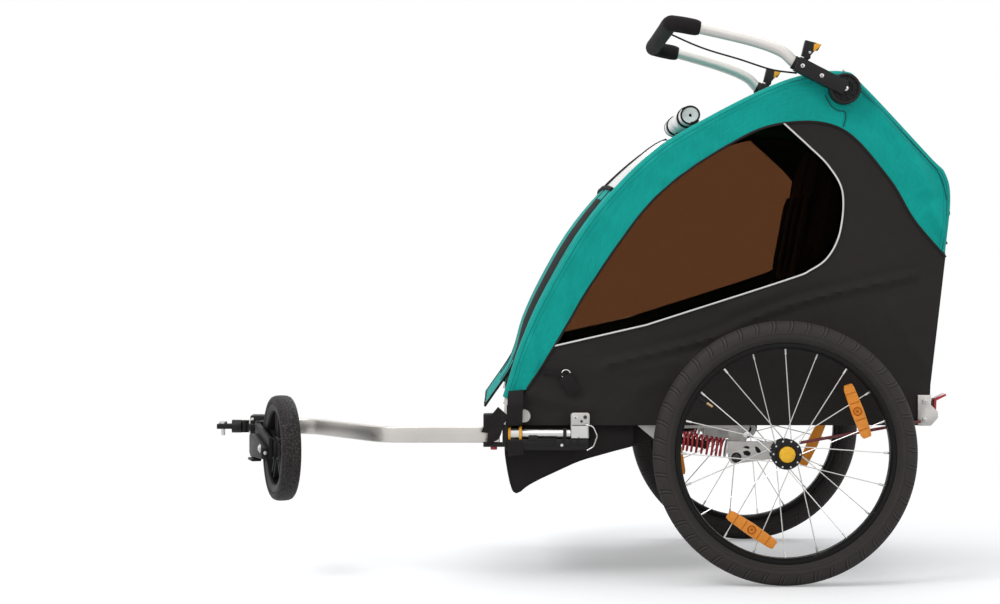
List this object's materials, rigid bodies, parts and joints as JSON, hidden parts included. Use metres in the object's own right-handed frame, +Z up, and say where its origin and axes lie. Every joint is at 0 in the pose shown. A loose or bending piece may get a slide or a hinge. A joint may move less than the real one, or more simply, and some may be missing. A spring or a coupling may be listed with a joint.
{
  "type": "child bike trailer",
  "caption": "Two-seat child bike trailer with a folding cloth cabin, handlebar, sprung spoked wheels, tow bar and stroller wheel kit.",
  "frame": {"origin": "on the ground, under the middle of the bounding box", "axes": "+X points to the trailer's rear, -Y to its left side, +Z up"},
  "size_m": [1.4343, 0.816, 1.0889],
  "materials": {
    "teal_cloth": "matt woven cloth",
    "black_cloth": "matt woven cloth",
    "tinted_film": "smoked see-through film",
    "clear_film": "clear film, rolled up",
    "aluminium": "satin",
    "cast_silver": "cast",
    "steel": "bright",
    "black_paint": "satin black",
    "black_plastic": "fine grain",
    "rubber": "matt",
    "tyre": "matt tread",
    "foam": "soft foam",
    "red_paint": "gloss red",
    "yellow_plastic": "gloss",
    "webbing": "woven strap"
  },
  "bodies": {
    "base": {"base_rail_left": "black_paint", "base_rail_right": "black_paint", "front_cross_tube": "black_paint", "axle_cross_tube": "black_paint", "rear_cross_tube": "black_paint", "footwell": "black_cloth", "floor_panel": "black_cloth", "seat_base": "black_cloth", "suspension_bracket_left": "cast_silver", "suspension_bracket_right": "cast_silver", "coil_spring_left": "red_paint", "coil_spring_right": "red_paint", "tow_receiver": "black_plastic", "receiver_clamp": "cast_silver", "rear_bracket_left": "cast_silver", "rear_bracket_right": "cast_silver", "side_panel_left": "black_cloth", "side_panel_right": "black_cloth", "side_window_left": "tinted_film", "side_window_right": "tinted_film", "rear_panel": "black_cloth"},
    "cage": {"cage_hoop_left": "aluminium", "cage_hoop_right": "aluminium", "cage_crossbar_top": "aluminium", "cage_crossbar_rear": "aluminium", "canopy": "teal_cloth", "handle_hub_left": "black_plastic", "handle_hub_right": "black_plastic", "rolled_rain_cover": "clear_film"},
    "front_cover": {"front_cover": "teal_cloth"},
    "handlebar": {"handlebar_tube": "aluminium", "handlebar_grip": "foam", "handlebar_arm_left": "black_plastic", "handlebar_arm_right": "black_plastic", "wrist_strap": "webbing"},
    "release_left": {"handle_release_left": "black_plastic"},
    "release_right": {"handle_release_right": "black_plastic"},
    "uprights": {"upright_frame": "aluminium", "seat_back": "black_cloth", "harness_left": "webbing", "harness_right": "webbing"},
    "arm_left": {"swing_arm_left": "cast_silver"},
    "arm_right": {"swing_arm_right": "cast_silver"},
    "wheel_left": {"wheel_left": "black_paint", "tyre_left": "tyre"},
    "wheel_right": {"wheel_right": "black_paint", "tyre_right": "tyre"},
    "button_left": {"wheel_button_left": "yellow_plastic"},
    "button_right": {"wheel_button_right": "yellow_plastic"},
    "brake_lever": {"brake_lever": "red_paint"},
    "brake_rod": {"brake_rod": "red_paint"},
    "tow_bar": {"tow_bar": "aluminium", "stroller_clamp": "black_plastic"},
    "hitch": {"tow_hitch": "rubber"},
    "hitch_pin": {"hitch_pin": "steel"},
    "pin_button": {"tow_pin_button": "red_paint"},
    "bail": {"retaining_bail": "steel"},
    "stroller_arm": {"stroller_arm": "black_plastic"},
    "stroller_fork": {"stroller_fork": "black_plastic"},
    "stroller_wheel": {"stroller_wheel": "tyre"}
  },
  "joints": [
    {"name": "cage_fold", "type": "hinge", "parent": "base", "child": "cage", "pos_m": [-0.12745, 0, 0.34701], "axis": [0, 1, 0], "range_deg": [0, 25], "deforming": ["side_panel_left", "side_panel_right", "side_window_left", "side_window_right", "rear_panel"]},
    {"name": "uprights_fold", "type": "hinge", "parent": "base", "child": "uprights", "pos_m": [0.64915, 0, 0.36], "axis": [0, -1, 0], "range_deg": [0, 67], "deforming": ["seat_back", "harness_left", "harness_right"]},
    {"name": "front_cover_lift", "type": "hinge", "parent": "cage", "child": "front_cover", "pos_m": [0.19454, 0, 0.85781], "axis": [0, 1, 0], "range_deg": [0, 95]},
    {"name": "handlebar_flip", "type": "hinge", "parent": "cage", "child": "handlebar", "pos_m": [0.50989, 0, 0.942], "axis": [0, 1, 0], "range_deg": [0, 130]},
    {"name": "handle_release_left_squeeze", "type": "hinge", "parent": "handlebar", "child": "release_left", "pos_m": [0.43745, -0.3171, 1.00223], "axis": [0, 1, 0], "range_deg": [0, 30], "stiffness_Nm_per_rad": 0.5, "springref_deg": -17.19},
    {"name": "suspension_left", "type": "hinge", "parent": "base", "child": "arm_left", "pos_m": [0.30415, -0.2877, 0.236], "axis": [0, -1, 0], "range_deg": [-4, 18], "stiffness_Nm_per_rad": 60, "springref_deg": -4.01, "deforming": ["coil_spring_left"]},
    {"name": "wheel_spin_left", "type": "hinge", "parent": "arm_left", "child": "wheel_left", "pos_m": [0.38915, -0.37, 0.25], "axis": [0, 1, 0], "continuous": true},
    {"name": "wheel_button_left_press", "type": "slide", "parent": "wheel_left", "child": "button_left", "axis": [0, 1, 0], "range_m": [0, 0.004], "stiffness_N_per_m": 500, "springref_m": -0.002},
    {"name": "handle_release_right_squeeze", "type": "hinge", "parent": "handlebar", "child": "release_right", "pos_m": [0.43745, 0.3171, 1.00223], "axis": [0, 1, 0], "range_deg": [0, 30], "stiffness_Nm_per_rad": 0.5, "springref_deg": -17.19},
    {"name": "suspension_right", "type": "hinge", "parent": "base", "child": "arm_right", "pos_m": [0.30415, 0.2877, 0.236], "axis": [0, -1, 0], "range_deg": [-4, 18], "stiffness_Nm_per_rad": 60, "springref_deg": -4.01, "deforming": ["coil_spring_right"]},
    {"name": "wheel_spin_right", "type": "hinge", "parent": "arm_right", "child": "wheel_right", "pos_m": [0.38915, 0.37, 0.25], "axis": [0, 1, 0], "continuous": true},
    {"name": "wheel_button_right_press", "type": "slide", "parent": "wheel_right", "child": "button_right", "axis": [0, -1, 0], "range_m": [0, 0.004], "stiffness_N_per_m": 500, "springref_m": -0.002},
    {"name": "brake_lever_turn", "type": "hinge", "parent": "base", "child": "brake_lever", "pos_m": [0.68465, -0.2813, 0.318], "axis": [0, 1, 0], "range_deg": [0, 35]},
    {"name": "brake_rod_slide", "type": "slide", "parent": "base", "child": "brake_rod", "axis": [-0.9845, 0, -0.1754], "range_m": [0, 0.0085]},
    {"name": "tow_bar_swing", "type": "hinge", "parent": "base", "child": "tow_bar", "pos_m": [-0.16085, -0.3108, 0.281], "axis": [0, 0, -1], "range_deg": [0, 55]},
    {"name": "tow_pin_button_press", "type": "slide", "parent": "base", "child": "pin_button", "axis": [0, 0, 1], "range_m": [0, 0.003], "stiffness_N_per_m": 500, "springref_m": -0.002},
    {"name": "retaining_bail_swing", "type": "hinge", "parent": "base", "child": "bail", "pos_m": [0.01265, -0.3264, 0.3015], "axis": [0, -1, 0], "range_deg": [0, 80]},
    {"name": "hitch_flex", "type": "hinge", "parent": "tow_bar", "child": "hitch", "pos_m": [-0.66215, -0.0848, 0.281], "axis": [0, 0, 1], "range_deg": [-45, 45], "stiffness_Nm_per_rad": 3},
    {"name": "hitch_pin_lift", "type": "slide", "parent": "hitch", "child": "hitch_pin", "axis": [0, 0, 1], "range_m": [0, 0.022]},
    {"name": "stroller_arm_flip", "type": "hinge", "parent": "tow_bar", "child": "stroller_arm", "pos_m": [-0.62085, -0.1208, 0.281], "axis": [0.9563, 0.2924, 0], "range_deg": [0, 90]},
    {"name": "stroller_swivel", "type": "hinge", "parent": "stroller_arm", "child": "stroller_fork", "pos_m": [-0.60418, -0.17531, 0.281], "axis": [0.2924, -0.9563, 0], "continuous": true},
    {"name": "stroller_wheel_spin", "type": "hinge", "parent": "stroller_fork", "child": "stroller_wheel", "pos_m": [-0.56822, -0.29293, 0.254], "axis": [0.9563, 0.2924, 0], "continuous": true}
  ],
  "couplings": [
    {"joint": "uprights_fold", "follows": "cage_fold", "ratio": 2.668},
    {"joint": "brake_rod_slide", "follows": "brake_lever_turn", "m_per_rad": 0.0131}
  ]
}
